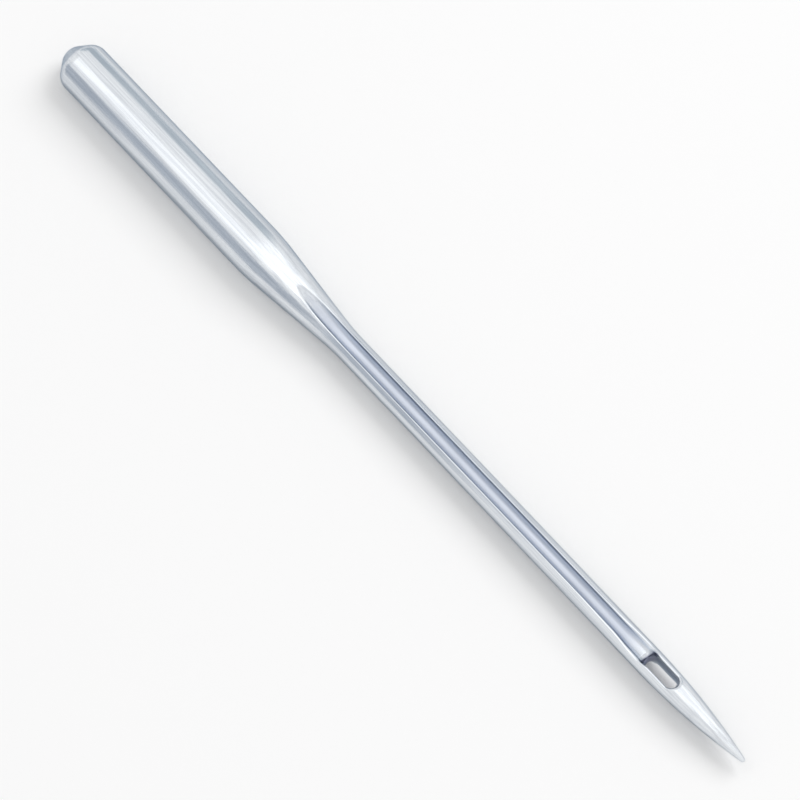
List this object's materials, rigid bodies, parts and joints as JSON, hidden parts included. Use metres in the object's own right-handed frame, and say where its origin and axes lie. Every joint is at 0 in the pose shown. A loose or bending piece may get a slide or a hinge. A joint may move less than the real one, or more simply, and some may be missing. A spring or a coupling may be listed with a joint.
{
  "type": "sewing machine needle",
  "caption": "Steel sewing machine needle with a flat on its round shank, a tapered shoulder, grooves, a scarf, an eye for the thread and a rounded point.",
  "frame": {"origin": "centre of the butt end's face, on the needle's axis", "axes": "+X along the needle from the butt end to the tip, +Z out of the front, the side with the long groove, so that the needle lies on its shank's flat"},
  "size_m": [0.0388, 0.002, 0.0016],
  "materials": {
    "steel": "polished, bright nickel-plated steel with faint drawing lines along the length"
  },
  "bodies": {
    "root": {"needle": "steel"}
  },
  "joints": []
}
